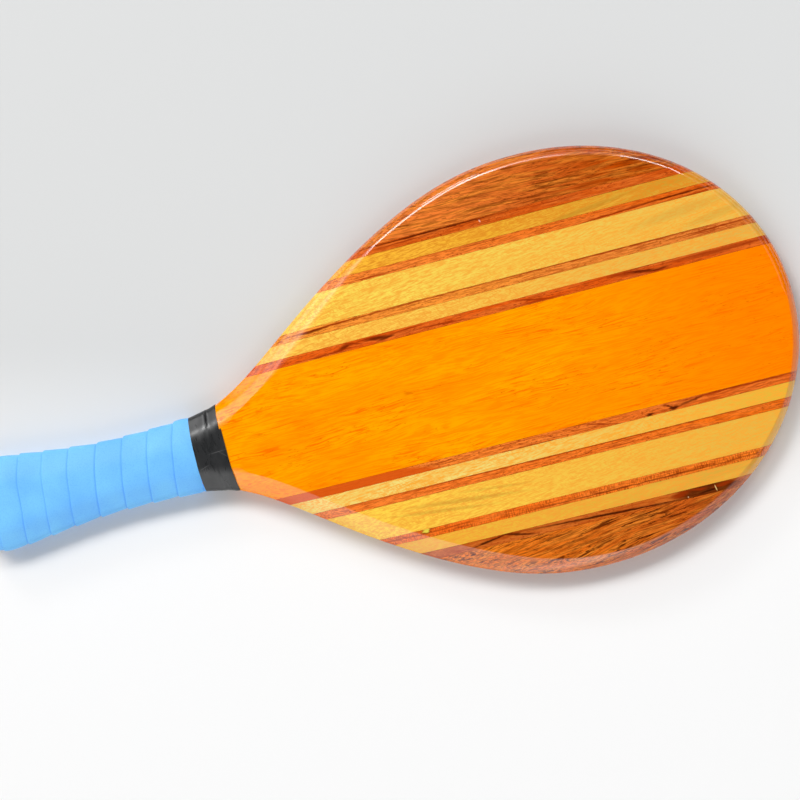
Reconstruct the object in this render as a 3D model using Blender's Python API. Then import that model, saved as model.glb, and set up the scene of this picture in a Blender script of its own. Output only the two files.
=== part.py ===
"""Wooden beach paddle: a striped board of edge-glued staves with a tape-wound handle.

Units are metres and +Z is up. The paddle lies on its back, striped face up: +X runs from the
butt of the handle to the tip of the blade, and +Y is the left side of the blade as seen from
the butt. The origin is on the ground, under the middle of the paddle's box.
"""

from math import ceil, cos, floor, radians, sin

import bmesh
import bpy
import numpy as np
from mathutils import Vector
from mathutils.geometry import interpolate_bezier

# Board: one thickness from the butt to the tip
BOARD_THICKNESS = 0.015
RIM_HEIGHT = 0.005
GLUE_LINE = 0.0003

# Outline of the board, with places along it given from the neck, where the bare wood begins
HEAD_LENGTH = 0.292
HEAD_WIDTH = 0.209
WIDEST_FROM_NECK = 0.173
SHOULDER_FROM_NECK = 0.0419
SHOULDER_WIDTH = 0.0981
SHOULDER_SLOPE = radians(35.9)
WAIST_FROM_NECK = 0.0563
WAIST_WIDTH = 0.0335
HANDLE_LENGTH = 0.140
KNOB_FROM_BUTT = 0.0195
KNOB_WIDTH = 0.0455

# The hand-sawn outline leans to the left, by this much at the tip
TIP_DRIFT = 0.0045

# How far the outline's curves keep their direction, as shares of the span to the next place
BUTT_PULL = 0.68
TIP_PULL = 0.56
KNOB_PULL = 0.10
HANDLE_PULL = 0.35
WAIST_PULL = 0.55
SHOULDER_PULL = 0.515
CHEEK_PULL = 0.64
WIDEST_PULL = 0.225

# Hand-planed bevel round both faces: wide along the handle, narrow at the butt and the tip
BEVEL_WIDE = 0.010
BEVEL_AT_BUTT = 0.004
BEVEL_AT_TIP = 0.0037
LEFT_TAPER_START = 0.010
LEFT_TAPER_END = 0.105
RIGHT_TAPER_START = 0.095
RIGHT_TAPER_END = 0.215

# Staves, by their widths across the blade
CENTRE_BOARD_WIDTH = 0.0635
RED_STRIP_WIDTH = 0.0044
NARROW_YELLOW_WIDTH = 0.00715
WIDE_YELLOW_WIDTH = 0.01625

# Grip tape, one strip wound from the butt to the finishing tape
BARE_BUTT_LENGTH = 0.009
GRIP_PITCH = 0.0137
GRIP_SEAM_FROM_NECK = 0.0928
GRIP_THICKNESS = 0.0009
GRIP_SEAM_STEP = 0.0004
GRIP_SEAM_GAP = 0.0005
GRIP_SHORTEST_END = 0.0012

# Finishing tape, wound over itself at the front end of the grip
COLLAR_WIDTH = 0.0155
COLLAR_FRONT_FROM_NECK = 0.0010
COLLAR_TURNS = 2
COLLAR_DRIFT = 0.0018
COLLAR_THICKNESS = 0.00025
COLLAR_LAYER_GAP = 0.0005
COLLAR_CLIMB = 0.1

# Clearances
TAPE_CLEARANCE = 0.0004
COLLAR_CLEARANCE = 0.0003

# Mesh density: points for each span of the outline, and for one turn of tape
BUTT_POINTS = 9
HANDLE_POINTS = 8
NECK_POINTS = 12
CHEEK_POINTS = 14
TIP_POINTS = 19
POINTS_PER_CORNER = 3
POINTS_ACROSS_TAPE = 5
GAP_SAMPLES = 24

# Finishes as sRGB colour, roughness
ORANGE_WOOD = ("F28E0B", 0.25)
YELLOW_WOOD = ("E3B24A", 0.25)
RED_WOOD = ("B9501A", 0.25)
DARK_WOOD = ("8A4413", 0.25)
BLUE_GRIP = ("4FA9F5", 0.70)
BLACK_TAPE = ("1C1D1F", 0.35)

ALONG = Vector((1.0, 0.0))
ACROSS = Vector((0.0, 1.0))


def half_outline():
    """Points of the board's left side from the butt to the tip, before the tip's drift."""
    butt = Vector((-HANDLE_LENGTH, 0.0))
    knob = Vector((KNOB_FROM_BUTT - HANDLE_LENGTH, KNOB_WIDTH / 2))
    waist = Vector((-WAIST_FROM_NECK, WAIST_WIDTH / 2))
    shoulder = Vector((SHOULDER_FROM_NECK, SHOULDER_WIDTH / 2))
    widest = Vector((WIDEST_FROM_NECK, HEAD_WIDTH / 2))
    tip = Vector((HEAD_LENGTH, 0.0))
    climb = Vector((cos(SHOULDER_SLOPE), sin(SHOULDER_SLOPE)))
    to_waist = ALONG * (waist.x - knob.x)
    to_shoulder = shoulder.x - waist.x
    to_widest = widest.x - shoulder.x
    spans = [
        (butt, ACROSS * knob.y * BUTT_PULL, ALONG * KNOB_FROM_BUTT * BUTT_PULL, knob, BUTT_POINTS),
        (knob, to_waist * KNOB_PULL, to_waist * HANDLE_PULL, waist, HANDLE_POINTS),
        (waist, ALONG * to_shoulder * WAIST_PULL, climb * to_shoulder * SHOULDER_PULL, shoulder, NECK_POINTS),
        (shoulder, climb * to_widest * CHEEK_PULL, ALONG * to_widest * WIDEST_PULL, widest, CHEEK_POINTS),
        (widest, ALONG * (tip.x - widest.x) * TIP_PULL, -ACROSS * widest.y * TIP_PULL, tip, TIP_POINTS),
    ]
    points = [butt]
    for start, leave, arrive, end, count in spans:
        points += interpolate_bezier(start, start + leave, end - arrive, end, count)[1:]
    return points


SIDE = half_outline()
SIDE_PLACES = [point.x for point in SIDE]
SIDE_HALVES = [point.y for point in SIDE]


def half_width(place):
    """Half the board's width at a place along it."""
    return float(np.interp(place, SIDE_PLACES, SIDE_HALVES))


def drift(place):
    """How far the outline leans to the left at a place along the blade."""
    return TIP_DRIFT * (max(place, 0.0) / HEAD_LENGTH) ** 2


def blend(place, start, end):
    """Smooth rise from 0 at one place along the board to 1 at another."""
    share = min(max((place - start) / (end - start), 0.0), 1.0)
    return share * share * (3 - 2 * share)


def bevel_width(place, side):
    """Width of the bevel at a place along the board, on its left side (1) or right side (-1)."""
    start, end = (LEFT_TAPER_START, LEFT_TAPER_END) if side > 0 else (RIGHT_TAPER_START, RIGHT_TAPER_END)
    to_butt = blend(-place, HANDLE_LENGTH - KNOB_FROM_BUTT, HANDLE_LENGTH) * (BEVEL_AT_BUTT - BEVEL_WIDE)
    to_tip = blend(place, start, end) * (BEVEL_AT_TIP - BEVEL_WIDE)
    return BEVEL_WIDE + to_butt + to_tip


def outlines():
    """The board's outline and the edge of its flat face, as two closed loops of as many points."""
    left = [Vector((point.x, point.y + drift(point.x))) for point in SIDE]
    right = [Vector((point.x, drift(point.x) - point.y)) for point in SIDE[-2:0:-1]]
    rim = left + right
    flat = []
    for before, point, after in zip(rim[-1:] + rim[:-1], rim, rim[1:] + rim[:1]):
        run = (after - before).normalized()
        flat.append(point + Vector((run.y, -run.x)) * bevel_width(point.x, point.y))
    return rim, flat


def swept(sections):
    """A closed solid made by extruding the first section's outline through all the others."""
    solid = bmesh.new()
    start = [solid.verts.new(point) for point in sections[0]]
    face = solid.faces.new(start)
    for section in sections[1:]:
        face = bmesh.ops.extrude_discrete_faces(solid, faces=[face])["faces"][0]
        for vert, point in zip(face.verts, section):
            vert.co = point
    solid.faces.new(start)
    bmesh.ops.recalc_face_normals(solid, faces=solid.faces)
    return solid


def bevelled_board():
    """The whole board before it is cut into staves: two flat faces, two bevels and a rim."""
    rim, flat = outlines()
    levels = [
        (flat, -BOARD_THICKNESS / 2),
        (rim, -RIM_HEIGHT / 2),
        (rim, RIM_HEIGHT / 2),
        (flat, BOARD_THICKNESS / 2),
    ]
    return swept([[(*point, height) for point in points] for points, height in levels])


def trim(mesh, height, side):
    """Cuts a mesh at a height across the blade, drops what lies beyond, and closes the cut."""
    everything = mesh.verts[:] + mesh.edges[:] + mesh.faces[:]
    cut = bmesh.ops.bisect_plane(
        mesh, geom=everything, plane_co=(0, height, 0), plane_no=(0, side, 0), clear_outer=True
    )
    edges = [part for part in cut["geom_cut"] if isinstance(part, bmesh.types.BMEdge)]
    bmesh.ops.edgenet_fill(mesh, edges=edges)


def stave(board, inner, outer):
    """A slice of the board between two heights across it, half a glue line in from its neighbours."""
    slice_ = board.copy()
    low, high = sorted((inner, outer))
    trim(slice_, low + GLUE_LINE / 2, -1)
    trim(slice_, high - GLUE_LINE / 2, 1)
    bmesh.ops.recalc_face_normals(slice_, faces=slice_.faces)
    return slice_


def stave_plan():
    """Names, finishes and widths of the staves on one side, from the centre board to past the edge."""
    return [
        ("red_strip_1", RED_WOOD, RED_STRIP_WIDTH),
        ("narrow_yellow_strip_1", YELLOW_WOOD, NARROW_YELLOW_WIDTH),
        ("red_strip_2", RED_WOOD, RED_STRIP_WIDTH),
        ("wide_yellow_strip", YELLOW_WOOD, WIDE_YELLOW_WIDTH),
        ("red_strip_3", RED_WOOD, RED_STRIP_WIDTH),
        ("narrow_yellow_strip_2", YELLOW_WOOD, NARROW_YELLOW_WIDTH),
        ("red_strip_4", RED_WOOD, RED_STRIP_WIDTH),
        ("outer_board", DARK_WOOD, HEAD_WIDTH / 2),
    ]


def outward(edge):
    """Unit normal of an edge of the handle's section, away from the wood."""
    return Vector((-edge.y, edge.x)).normalized()


def skin(place, lift):
    """Points round the handle at a place, a lift outside the wood, with a round over each corner."""
    half = half_width(place)
    flat = half - bevel_width(place, 1)
    face = BOARD_THICKNESS / 2
    rim = RIM_HEIGHT / 2
    corners = [
        Vector(corner)
        for corner in [
            (half, rim),
            (half, -rim),
            (flat, -face),
            (-flat, -face),
            (-half, -rim),
            (-half, rim),
            (-flat, face),
            (flat, face),
        ]
    ]
    points = []
    for before, corner, after in zip(corners[-1:] + corners[:-1], corners, corners[1:] + corners[:1]):
        enter = outward(corner - before)
        leave = outward(after - corner)
        for step in range(POINTS_PER_CORNER):
            direction = enter.lerp(leave, step / (POINTS_PER_CORNER - 1)).normalized()
            points.append(Vector((place, *(corner + direction * lift))))
    return points


def turn_shares():
    """How far round a turn each point of the skin lies, from 0 to 1 by length round the waist."""
    loop = skin(-WAIST_FROM_NECK, TAPE_CLEARANCE)
    lengths = [(after - point).length for point, after in zip(loop, loop[1:] + loop[:1])]
    return np.concatenate(([0.0], np.cumsum(lengths[:-1]))) / sum(lengths)


SHARES = turn_shares()
POINTS_PER_TURN = len(SHARES)


def strip_ring(index, back, front, lift_back, lift_front, thickness):
    """Section of a wound strip at one point of its turn: inner side, then outer side, back to front."""
    shares = np.linspace(0.0, 1.0, POINTS_ACROSS_TAPE)
    places = back + (front - back) * shares
    lifts = lift_back + (lift_front - lift_back) * shares
    inner = [skin(place, lift)[index] for place, lift in zip(places, lifts)]
    outer = [skin(place, lift + thickness)[index] for place, lift in zip(places, lifts)]
    return inner + outer[::-1]


def grip_rings():
    """Sections along the grip tape, whose turns climb towards the blade and are trimmed at both ends."""
    back_end = BARE_BUTT_LENGTH - HANDLE_LENGTH
    front_end = COLLAR_FRONT_FROM_NECK - COLLAR_DRIFT - COLLAR_WIDTH - COLLAR_CLEARANCE
    width = GRIP_PITCH - GRIP_SEAM_GAP
    first_turn = floor((back_end + GRIP_SEAM_FROM_NECK - width) / GRIP_PITCH)
    last_turn = ceil((front_end + GRIP_SEAM_FROM_NECK) / GRIP_PITCH)
    rings = []
    for turn in range(first_turn, last_turn):
        for index, share in enumerate(SHARES):
            seam = GRIP_PITCH * (turn + share) - GRIP_SEAM_FROM_NECK
            back = max(seam, back_end)
            front = min(seam + width, front_end)
            if front - back > GRIP_SHORTEST_END:
                raised = TAPE_CLEARANCE + GRIP_SEAM_STEP
                rings.append(strip_ring(index, back, front, raised, TAPE_CLEARANCE, GRIP_THICKNESS))
    return rings


def collar_rings():
    """Sections along the finishing tape, which climbs onto its own first turn."""
    layer = COLLAR_THICKNESS + COLLAR_LAYER_GAP
    rings = []
    for turn in range(COLLAR_TURNS):
        for index, share in enumerate(SHARES):
            climbed = turn + max((share - 1) / COLLAR_CLIMB + 1, 0.0)
            lift = COLLAR_CLEARANCE + layer * min(climbed, COLLAR_TURNS - 1)
            front = COLLAR_FRONT_FROM_NECK - COLLAR_DRIFT * (1 - (turn + share) / COLLAR_TURNS)
            rings.append(strip_ring(index, front - COLLAR_WIDTH, front, lift, lift, COLLAR_THICKNESS))
    return rings


def least_gap(rings):
    """Smallest distance between points close together round the sections of neighbouring turns."""
    corners = np.array([[list(point) for point in ring] for ring in rings])
    steps = np.arange(GAP_SAMPLES).reshape(-1, 1, 1, 1) / GAP_SAMPLES
    points = corners + (np.roll(corners, -1, axis=1) - corners) * steps
    points = points.transpose(1, 0, 2, 3).reshape(len(rings), -1, 3)
    least = np.inf
    for i in range(len(rings)):
        for later in points[i + POINTS_PER_TURN - 2:i + POINTS_PER_TURN + 3]:
            least = min(least, np.linalg.norm(later[:, None] - points[i], axis=2).min())
    return least


def finish(name, colour, roughness):
    """Material of one piece, from an sRGB colour."""
    srgb = np.array([int(colour[i:i + 2], 16) / 255 for i in (0, 2, 4)])
    linear = np.where(srgb <= 0.04045, srgb / 12.92, ((srgb + 0.055) / 1.055) ** 2.4)
    material = bpy.data.materials.new(name + "_finish")
    material.use_nodes = True
    shader = material.node_tree.nodes["Principled BSDF"]
    shader.inputs["Base Color"].default_value = (*linear, 1.0)
    shader.inputs["Roughness"].default_value = roughness
    shader.inputs["Metallic"].default_value = 0.0
    return material


def add_piece(name, mesh, look, paddle):
    """Adds one piece of the paddle to the scene, with its material."""
    data = bpy.data.meshes.new(name)
    mesh.to_mesh(data)
    mesh.free()
    data.shade_smooth()
    data.set_sharp_from_angle(angle=radians(20))
    data.materials.append(finish(name, *look))
    piece = bpy.data.objects.new(name, data)
    piece.parent = paddle
    bpy.context.scene.collection.objects.link(piece)
    return piece


def set_down(paddle, pieces):
    """Moves the paddle so that it lies on the ground, with the origin under the middle of its box."""
    points = np.array([list(vert.co) for piece in pieces for vert in piece.data.vertices])
    low = points.min(axis=0)
    high = points.max(axis=0)
    paddle.location = (-(low[0] + high[0]) / 2, -(low[1] + high[1]) / 2, -low[2])


def main():
    """Builds the paddle's pieces and lays the paddle down."""
    for thing in list(bpy.data.objects):
        bpy.data.objects.remove(thing)
    paddle = bpy.data.objects.new("paddle", None)
    bpy.context.scene.collection.objects.link(paddle)

    board = bevelled_board()
    half_centre = CENTRE_BOARD_WIDTH / 2
    centre = stave(board, -half_centre, half_centre)
    pieces = [add_piece("centre_board", centre, ORANGE_WOOD, paddle)]
    for side, sign in (("left", 1), ("right", -1)):
        inner = half_centre
        for name, look, width in stave_plan():
            mesh = stave(board, sign * inner, sign * (inner + width))
            pieces.append(add_piece(f"{side}_{name}", mesh, look, paddle))
            inner += width
    board.free()

    for name, rings, look in (
        ("grip_tape", grip_rings(), BLUE_GRIP),
        ("finishing_tape", collar_rings(), BLACK_TAPE),
    ):
        print(f"{name}: least gap to itself {least_gap(rings) * 1000:.2f} mm")
        pieces.append(add_piece(name, swept(rings), look, paddle))
    set_down(paddle, pieces)


main()
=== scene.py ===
"""Looks of a wooden beach paddle: striped, varnished staves and a tape-wound handle.

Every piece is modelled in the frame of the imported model, in metres. Sizes in the classes are
written in millimetres times MM, or in plain millimetres where a class says so. Places along the
paddle are measured from the neck, where the bare wood begins, and places across it from the
middle of the centre board, left side positive.
"""

import logging
from dataclasses import dataclass, replace
from enum import Enum
from math import cos, pi, radians, sin
from typing import Any, Sequence, Union

import bpy
import numpy as np
from mathutils import Matrix, Vector


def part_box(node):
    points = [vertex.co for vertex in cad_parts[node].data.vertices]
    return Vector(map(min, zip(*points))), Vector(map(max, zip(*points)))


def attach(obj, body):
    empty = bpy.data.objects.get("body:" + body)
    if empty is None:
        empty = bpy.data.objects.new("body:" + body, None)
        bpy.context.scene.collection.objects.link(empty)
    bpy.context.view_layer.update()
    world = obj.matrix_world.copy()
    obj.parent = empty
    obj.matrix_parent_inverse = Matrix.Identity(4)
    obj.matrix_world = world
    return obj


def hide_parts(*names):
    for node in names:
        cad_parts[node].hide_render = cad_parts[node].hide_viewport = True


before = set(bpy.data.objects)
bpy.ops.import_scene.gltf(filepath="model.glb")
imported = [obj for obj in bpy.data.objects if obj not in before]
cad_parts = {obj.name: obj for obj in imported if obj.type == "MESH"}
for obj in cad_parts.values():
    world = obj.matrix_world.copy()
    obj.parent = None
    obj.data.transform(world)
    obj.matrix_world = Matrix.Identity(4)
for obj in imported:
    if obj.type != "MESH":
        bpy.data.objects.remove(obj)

Pair = tuple[float, float]
Triple = tuple[float, float, float]
Colour = tuple[float, float, float, float]
Socket = bpy.types.NodeSocket
Source = Union[Socket, float, Sequence[float]]

MM: float = 0.001
LOG = logging.getLogger("beach_paddle")
# Points of a mesh that are closer than this are one point
MERGE_DISTANCE: float = 1e-7
# Noise swings by about this much on each side of its middle value
NOISE_MIDDLE: float = 0.5
NOISE_SWING: float = 0.25
# How far a seed moves a pattern along X, Y and Z
SEED_SPREAD: Triple = (1.0, 1.7, 0.6)
# Cells and reach, along X, Y and Z, of the waves that fray the edge of a mark
FRAY_SIZE: Triple = (5.0 * MM, 0.9 * MM, 1.0)
FRAY_REACH: Triple = (1.2 * MM, 0.25 * MM, 0.0)
FRAY_SHIFT: float = 1.9


class Side(Enum):
    """The two long sides of the paddle, as seen from the butt."""

    LEFT = 1
    RIGHT = -1


class Slot(Enum):
    """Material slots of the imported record."""

    ORANGE = "orange_wood"
    YELLOW = "yellow_wood"
    RED = "red_wood"
    DARK = "dark_wood"
    GRIP = "grip"
    TAPE = "finishing_tape"


class Figure(Enum):
    """Patterns in wood: the shift that sets each one apart, and its number of finer layers."""

    LINES = (0.0, 4.0)
    CLOUDS = (3.1, 2.0)
    STREAKS = (5.3, 3.0)
    PORES = (7.7, 2.0)
    PATCHES = (9.4, 1.0)


def linear(colour: str) -> Colour:
    """Turns an sRGB colour, as six hex digits, into a linear one with an alpha of 1."""
    srgb = [int(colour[i:i + 2], 16) / 255 for i in (0, 2, 4)]
    return tuple(c / 12.92 if c <= 0.04045 else ((c + 0.055) / 1.055) ** 2.4 for c in srgb) + (1.0,)


def smooth_step(value: Any, start: float, end: float) -> Any:
    """Smooth rise from 0 at start to 1 at end, for a number or an array."""
    share = np.clip((value - start) / (end - start), 0.0, 1.0)
    return share * share * (3 - 2 * share)


def blend(place: Any, reach: Pair, before: Any, after: Any) -> Any:
    """Value that turns smoothly from before to after over a reach of places."""
    return before + smooth_step(place, *reach) * (after - before)


@dataclass
class Nodes:
    """The node tree of a material or a world, which starts out empty."""

    owner: Union[bpy.types.Material, bpy.types.World]

    def __post_init__(self) -> None:
        """Empties the tree."""
        self.owner.use_nodes = True
        self.owner.node_tree.nodes.clear()

    def add(self, kind: str, inputs: dict[Union[str, int], Source], **settings: Any) -> bpy.types.Node:
        """Adds a node, sets its options, and links or sets its inputs.

        Args:
            kind: Type name of the node, without ShaderNode.
            inputs: For each input, by name or number, a socket to link or a value to set.
            **settings: Options of the node, such as its operation.

        Returns:
            The new node.
        """
        tree = self.owner.node_tree
        node = tree.nodes.new("ShaderNode" + kind)
        for option, value in settings.items():
            setattr(node, option, value)
        for key, source in inputs.items():
            if isinstance(source, Socket):
                tree.links.new(source, node.inputs[key])
            else:
                node.inputs[key].default_value = source
        return node

    def layered(
        self, ground: Source, colour: str, value: Source, reach: Pair, strength: Source = 1.0
    ) -> Socket:
        """Lays a colour over another wherever a value is high.

        Args:
            ground: Colour under the layer.
            colour: The layer's colour, as six hex digits.
            value: The value that brings the layer out.
            reach: Values at which the layer starts and is full, in either order.
            strength: Share of the layer where it is full.

        Returns:
            The colour of both.
        """
        limits = {"Value": value, "From Min": reach[0], "From Max": reach[1], "To Max": strength}
        share = self.add("MapRange", limits, interpolation_type="SMOOTHSTEP")
        inputs = {0: share.outputs[0], 6: ground, 7: linear(colour)}
        return self.add("Mix", inputs, data_type="RGBA").outputs[2]

    def mottle(
        self, coords: Source, size: Sequence[float], seed: float, turn: float = 0.0, detail: float = 3.0
    ) -> bpy.types.Node:
        """Mottling whose cells have a real size.

        Args:
            coords: Coordinates in metres.
            size: Size of a cell along X, Y and Z in metres.
            seed: Shifts the pattern, so that no two pieces look alike.
            turn: Turn of the pattern about Z, in degrees.
            detail: Number of finer layers.

        Returns:
            The noise node, whose value lies between about 0.25 and 0.75.
        """
        centre = tuple(seed * share for share in SEED_SPREAD)
        place = {"Vector": coords, "Location": centre, "Rotation": (0, 0, radians(turn)), "Scale": size}
        cells = self.add("Mapping", place, vector_type="TEXTURE").outputs[0]
        return self.add("TexNoise", {"Vector": cells, "Scale": 1.0, "Detail": detail})

    def shaken(self, coords: Source, size: Sequence[float], reach: Sequence[float], seed: float) -> Socket:
        """Moves coordinates to and fro, so that lines drawn on them waver.

        Args:
            coords: Coordinates in metres.
            size: Size of a wave along X, Y and Z in metres.
            reach: About how far points move along each axis in metres.
            seed: Shifts the pattern.

        Returns:
            The moved coordinates.
        """
        waves = self.mottle(coords, size, seed, detail=2.0).outputs["Color"]
        centred = self.add("VectorMath", {0: waves, 1: (NOISE_MIDDLE,) * 3}, operation="SUBTRACT")
        scale = tuple(length / NOISE_SWING for length in reach)
        inputs = {0: centred.outputs[0], 1: scale, 2: coords}
        return self.add("VectorMath", inputs, operation="MULTIPLY_ADD").outputs[0]

    def surfaced(self, relief: dict[str, Source], inputs: dict[str, Source]) -> bpy.types.Material:
        """Ends a material with a shader whose surface has a faint relief.

        Args:
            relief: Height, strength and distance of the relief.
            inputs: Inputs of the shader.

        Returns:
            The finished material.
        """
        normal = self.add("Bump", relief).outputs[0]
        shader = self.add("BsdfPrincipled", {**inputs, "Normal": normal})
        self.add("OutputMaterial", {"Surface": shader.outputs[0]})
        return self.owner


@dataclass(frozen=True)
class Mark:
    """A dark or pale mark on a surface: an ellipse with a soft and uneven edge.

    Lengths are in millimetres, from the neck and from the middle of the centre board.
    """

    place: float
    across: float
    length: float
    width: float
    colour: str
    turn: float = 0.0
    strength: float = 0.8
    soft: float = 0.6
    frayed: bool = True

    def paint(self, nodes: Nodes, coords: Source, origin: Vector, ground: Source) -> Socket:
        """Paints the mark over a colour.

        Args:
            nodes: Nodes of the material.
            coords: Coordinates in metres.
            origin: Where the neck's middle lies in the frame.
            ground: Colour under the mark.

        Returns:
            The colour with the mark on it.
        """
        centre = (self.place * MM + origin.x, self.across * MM + origin.y, 0.0)
        size = (self.length * MM / 2, self.width * MM / 2, 1.0)
        turn = (0, 0, radians(self.turn))
        place = {"Vector": coords, "Location": centre, "Rotation": turn, "Scale": size}
        ellipse = nodes.add("Mapping", place, vector_type="TEXTURE").outputs[0]
        reach = nodes.add("VectorMath", {0: ellipse}, operation="LENGTH").outputs["Value"]
        return nodes.layered(ground, self.colour, reach, (1 + self.soft, 1 - self.soft), self.strength)


@dataclass(frozen=True)
class VarnishedWood:
    """Planed wood under several coats of clear gloss varnish.

    The eye sees the wood's own lines along the paddle, and over them a smooth, hard, clear
    film that mirrors lamps on the bevels and the arris. Sizes are in millimetres.
    """

    name: str
    near: str
    tip: str
    line: str
    seed: float
    tilt: float
    waver: float
    grain_size: Pair
    grain_strength: float
    streak_size: Pair
    streak_strength: float
    patchy: float
    pore: str
    pore_size: Pair
    pore_reach: Pair
    pore_strength: float
    cloud: str
    cloud_size: Pair
    cloud_strength: float
    turn_of_colour: Pair = (60.0, 285.0)
    wave_size: Pair = (70.0, 16.0)
    grain_reach: Pair = (0.40, 0.64)
    streak_reach: Pair = (0.54, 0.7)
    patch_size: Pair = (45.0, 8.0)
    patch_reach: Pair = (0.40, 0.60)
    pore_tilt: float = 0.0
    cloud_reach: Pair = (0.38, 0.66)
    marks: tuple[Mark, ...] = ()

    def material(self, origin: Vector) -> bpy.types.Material:
        """Builds the wood's material.

        Args:
            origin: Where the neck's middle lies in the frame.

        Returns:
            The finished material.
        """
        nodes = Nodes(bpy.data.materials.new(self.name))
        coords = nodes.add("TexCoord", {}).outputs["Object"]
        sway = (0.0, self.waver * MM, self.waver * MM)
        swayed = nodes.shaken(coords, self._cell(self.wave_size), sway, self.seed)
        along = nodes.add("SeparateXYZ", {"Vector": coords}).outputs["X"]
        start, end = (origin.x + place * MM for place in self.turn_of_colour)
        colour = nodes.layered(linear(self.near), self.tip, along, (start, end))

        clouds = self._pattern(nodes, swayed, Figure.CLOUDS, self.cloud_size, self.tilt)
        colour = nodes.layered(colour, self.cloud, clouds, self.cloud_reach, self.cloud_strength)
        lines = self._pattern(nodes, swayed, Figure.LINES, self.grain_size, self.tilt)
        colour = nodes.layered(colour, self.line, lines, self.grain_reach, self.grain_strength)
        patches = self._pattern(nodes, swayed, Figure.PATCHES, self.patch_size, self.tilt)
        streaks = self._pattern(nodes, swayed, Figure.STREAKS, self.streak_size, self.tilt)
        limit = self._patchy(nodes, patches, self.streak_strength)
        colour = nodes.layered(colour, self.line, streaks, self.streak_reach, limit)
        pores = self._pattern(nodes, swayed, Figure.PORES, self.pore_size, self.pore_tilt)
        limit = self._patchy(nodes, patches, self.pore_strength)
        colour = nodes.layered(colour, self.pore, pores, self.pore_reach, limit)
        if self.marks:
            frayed = nodes.shaken(coords, FRAY_SIZE, FRAY_REACH, self.seed + FRAY_SHIFT)
            for mark in self.marks:
                colour = mark.paint(nodes, frayed if mark.frayed else coords, origin, colour)
        return self._varnished(nodes, colour, lines)

    @staticmethod
    def _cell(size: Pair) -> Triple:
        """A cell's length, width and depth in metres, as deep as it is wide."""
        return size[0] * MM, size[1] * MM, size[1] * MM

    def _patchy(self, nodes: Nodes, patches: Source, strength: float) -> Socket:
        """Strength of a pattern that comes and goes in patches.

        Args:
            nodes: Nodes of the wood.
            patches: The slow noise that the strength follows.
            strength: Strength where the pattern is fullest.

        Returns:
            The strength from place to place.
        """
        start, full = self.patch_reach
        least = strength * (1 - self.patchy)
        reach = {"Value": patches, "From Min": start, "From Max": full, "To Min": least, "To Max": strength}
        return nodes.add("MapRange", reach).outputs[0]

    def _pattern(self, nodes: Nodes, coords: Source, figure: Figure, size: Pair, turn: float) -> Socket:
        """Noise that runs along the wood, with cells of a size in millimetres."""
        shift, detail = figure.value
        return nodes.mottle(coords, self._cell(size), self.seed + shift, turn, detail).outputs[0]

    @staticmethod
    def _varnished(nodes: Nodes, colour: Source, lines: Source) -> bpy.types.Material:
        """Puts the clear gloss film over the wood's colour.

        Args:
            nodes: Nodes of the wood.
            colour: The wood's colour.
            lines: The fine grain, felt as a faint relief under the film.

        Returns:
            The finished material.
        """
        relief = {"Height": lines, "Strength": 0.08, "Distance": 0.2 * MM}
        # The film wets the wood, so the wood under it has no shine of its own
        inputs = {
            "Base Color": colour,
            "Roughness": 0.6,
            "Specular IOR Level": 0.0,
            "Coat Weight": 1.0,
            "Coat Roughness": 0.06,
            "Coat IOR": 1.58,
        }
        return nodes.surfaced(relief, inputs)


@dataclass(frozen=True)
class GripFoam:
    """Soft polyurethane grip tape: matt and velvety, with a fine closed skin that takes no sharp light."""

    name: str = "sky_blue_polyurethane_grip"
    pale: str = "78C8FF"
    deep: str = "6EBCFE"
    # Darker blue of the painted shade in the crease along each seam, and of the skin's pores
    crease_shade: str = "4492F2"
    # The skin's pores are about 0.2 mm wide and are drawn larger, so that they show
    pore_size: float = 0.6 * MM
    pore_reach: Pair = (0.42, 0.75)
    pore_strength: float = 0.25
    patch_size: float = 20.0 * MM
    patch_reach: Pair = (0.3, 0.7)
    crease_shade_strength: float = 0.55

    def material(self) -> bpy.types.Material:
        """Builds the tape's material, with painted shade darkening the crease along each seam."""
        nodes = Nodes(bpy.data.materials.new(self.name))
        coords = nodes.add("TexCoord", {}).outputs["Object"]
        skin = nodes.mottle(coords, (self.pore_size,) * 3, seed=1.3).outputs[0]
        patches = nodes.mottle(coords, (self.patch_size,) * 3, seed=4.4, detail=2.0).outputs[0]
        colour = nodes.layered(linear(self.pale), self.deep, patches, self.patch_reach)
        colour = nodes.layered(colour, self.crease_shade, skin, self.pore_reach, self.pore_strength)
        # Painted shade: the colour darkens where the seam mask is high, in the crease beside each lapping
        # turn
        seam = nodes.add("Attribute", {}, attribute_name="seam").outputs["Fac"]
        colour = nodes.layered(colour, self.crease_shade, seam, (0.0, 1.0), self.crease_shade_strength)
        relief = {"Height": skin, "Strength": 0.2, "Distance": 0.12 * MM}
        inputs = {
            "Base Color": colour,
            "Roughness": 0.55,
            "Specular IOR Level": 0.3,
            "Sheen Weight": 0.06,
            "Sheen Roughness": 0.4,
        }
        return nodes.surfaced(relief, inputs)


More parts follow.
